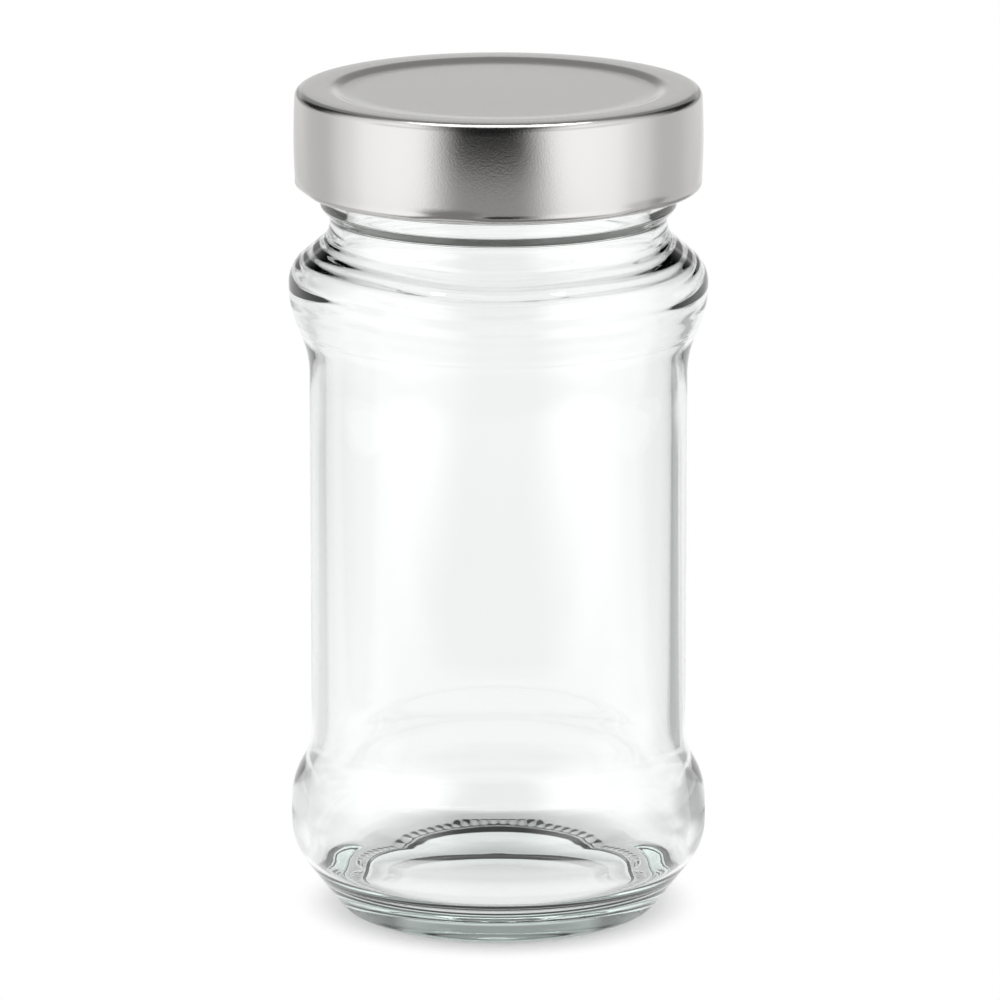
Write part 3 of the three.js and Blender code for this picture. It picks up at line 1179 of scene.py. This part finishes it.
@dataclass(frozen=True)
class Surroundings:
    """Light from all round: white to the eye, white behind the jar and dark straight in front of it.

    Knots and spans are values of X, Y or Z of the direction, which are -1 to 1.
    """

    knots: tuple[Pair, ...] = (
        (-1.0, 1.55), (-0.60, 1.60), (-0.30, 1.52), (0.0, 1.16),
        (0.33, 0.78), (0.585, 0.80), (0.75, 0.92), (1.0, 0.94),
    )
    peak: float = 1.8
    front_level: float = 0.005
    front_sides: Pair = (0.26, 0.66)
    front_end: Pair = (-0.35, -0.15)
    ceiling_level: float = 0.35
    ceiling_start: Pair = (0.185, 0.25)
    ceiling_back: Pair = (0.2, 0.45)
    dip_depth: float = 0.24
    dip_start: Pair = (0.08, 0.18)
    dip_end: Pair = (0.42, 0.55)
    dip_back: Pair = (-0.3, -0.1)
    gap_depth: float = 0.50
    gap_sides: Pair = (0.10, 0.22)
    gap_back: Pair = (0.50, 0.70)
    gap_start: Pair = (-0.03, 0.03)
    gap_end: Pair = (0.14, 0.20)
    corner_depth: float = 0.97
    corner_sides: Pair = (0.37, 0.50)
    corner_back: Pair = (0.40, 0.55)
    corner_start: Pair = (0.10, 0.20)

    def light(self, nodes: Nodes) -> Socket:
        """Brightness of a direction.

        It follows the curve of knots from front to back, less a dark front, a dim ceiling behind, a dip
        at the front sides, and dark gaps and corners at both sides of the white behind the jar.

        Args:
            nodes: Nodes of the world.

        Returns:
            Socket of the brightness.
        """
        x, y, z = nodes.axes("Generated")
        level = nodes.curve(nodes.maths(Op.MULTIPLY_ADD, x, SKEW, y), self.knots, self.peak)
        front = nodes.product(
            nodes.ramp(nodes.across(x, y), self.front_sides, (1.0 - self.front_level, 0.0)),
            nodes.ramp(y, self.front_end, FALLING),
        )
        ceiling = nodes.product(
            nodes.ramp(z, self.ceiling_start, (0.0, 1.0 - self.ceiling_level)),
            nodes.ramp(y, self.ceiling_back),
        )
        dip = nodes.product(
            nodes.ramp(z, self.dip_start, (0.0, self.dip_depth)),
            nodes.ramp(z, self.dip_end, FALLING),
            nodes.ramp(y, self.dip_back, FALLING),
        )
        aside = nodes.unsigned(x)
        gap = nodes.product(
            nodes.ramp(aside, self.gap_sides, (0.0, self.gap_depth)),
            nodes.ramp(y, self.gap_back),
            nodes.ramp(z, self.gap_end, FALLING),
            nodes.ramp(z, self.gap_start),
        )
        corner = nodes.product(
            nodes.ramp(aside, self.corner_sides, (0.0, self.corner_depth)),
            nodes.ramp(y, self.corner_back),
            nodes.ramp(z, self.corner_start),
        )
        for depth in (front, ceiling, dip, nodes.maths(Op.MAXIMUM, gap, corner)):
            level = nodes.dimmed(level, depth)
        return nodes.white_to_eye(level)

    def build(self) -> None:
        """Set the scene's world."""
        made = bpy.data.worlds.new("studio")
        bpy.context.scene.world = made
        made.use_nodes = True
        nodes = Nodes(made.node_tree)
        nodes.fill(nodes.tree.nodes["Background"], {"Color": WHITE, "Strength": self.light(nodes)})


@dataclass(frozen=True)
class Lamp:
    """Rectangular lamp that faces the jar, with its power in watts."""

    name: str
    place: Triple
    size: Pair
    power: float
    aim: Triple = (0.0, 0.0, 0.08)

    def build(self) -> None:
        """The lamp, turned to its aim."""
        data = bpy.data.lights.new(self.name, "AREA")
        data.shape = "RECTANGLE"
        data.size, data.size_y = self.size
        data.energy = self.power
        made = bpy.data.objects.new(self.name, data)
        made.location = self.place
        away = Vector(self.place) - Vector(self.aim)
        made.rotation_mode = "QUATERNION"
        made.rotation_quaternion = away.to_track_quat("Z", "Y")
        bpy.context.scene.collection.objects.link(made)


@dataclass(frozen=True)
class Camera:
    """Long lens at the photograph's viewing angle."""

    distance: float = 1.2967
    elevation: float = 13.586
    aim: Triple = (0.0, 0.0, 0.072)
    lens: float = 271.55
    sensor: float = 36.0
    shift: Pair = (0.0015, -0.0033)
    clip_end: float = 20.0

    def build(self) -> None:
        """The camera, set as the scene's own."""
        data = bpy.data.cameras.new("camera")
        data.lens = self.lens
        data.sensor_width = self.sensor
        data.shift_x, data.shift_y = self.shift
        data.clip_end = self.clip_end
        made = bpy.data.objects.new("camera", data)
        lift = np.radians(self.elevation)
        back = Vector((0.0, -np.cos(lift), np.sin(lift)))
        made.location = Vector(self.aim) + back * self.distance
        made.rotation_mode = "QUATERNION"
        made.rotation_quaternion = (-back).to_track_quat("-Z", "Y")
        bpy.context.scene.collection.objects.link(made)
        bpy.context.scene.camera = made


@dataclass(frozen=True)
class Studio:
    """All that is round the jar, and how far light is followed through the glass."""

    camera: Camera = Camera()
    floor: Floor = Floor()
    lamp: Lamp = Lamp("lamp_top", place=(0.0, 0.13, 1.15), size=(0.8, 0.36), power=4.6)
    surroundings: Surroundings = Surroundings()
    glass_bounces: int = 40

    def build(self) -> None:
        """Camera, floor, lamp and world, seen with the plain view transform."""
        self.camera.build()
        self.floor.build()
        self.lamp.build()
        self.surroundings.build()
        bpy.context.scene.view_settings.view_transform = "Standard"
        bpy.context.scene.cycles.max_bounces = self.glass_bounces
        bpy.context.scene.cycles.transmission_bounces = self.glass_bounces


def settle(
    piece: bpy.types.Object, node: str, body: Body, material: bpy.types.Material
) -> None:
    """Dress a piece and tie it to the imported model.

    Args:
        piece: The finished piece.
        node: Solid that the piece stands for.
        body: Rigid body that the piece rides on.
        material: The piece's material.
    """
    piece.data.materials.append(material)
    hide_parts(node)
    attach(piece, body.value)
    log.info("%s stands for %s: %d faces", piece.name, node, len(piece.data.polygons))


def main() -> None:
    """Build the studio, the glass, the lid and its seal, and log each piece's face count."""
    logging.basicConfig(level=logging.INFO, format="%(name)s: %(message)s")
    Studio().build()
    jar = GlassJar()
    lid = TwistOffLid()
    seal = SealRing()
    lug_top = lid.bottom + lid.sheet / 2 + lid.lug_thick
    lug_slant = jar.lead * lid.lug_width / 2 / FULL_TURN
    thread_at_lug = lug_top + lug_slant + jar.lug_gap + jar.thread_root / 2
    thread_low = thread_at_lug - jar.lead * jar.lug_ahead / FULL_TURN
    settle(jar.build(thread_low), "glass_jar", Body.JAR, GlassFinish().material())
    settle(lid.build(), "lid_shell", Body.LID, TinplateFinish().material())
    settle(seal.build(), "sealing_ring", Body.SEAL, CompoundFinish().material())


if __name__ == "__main__":
    main()
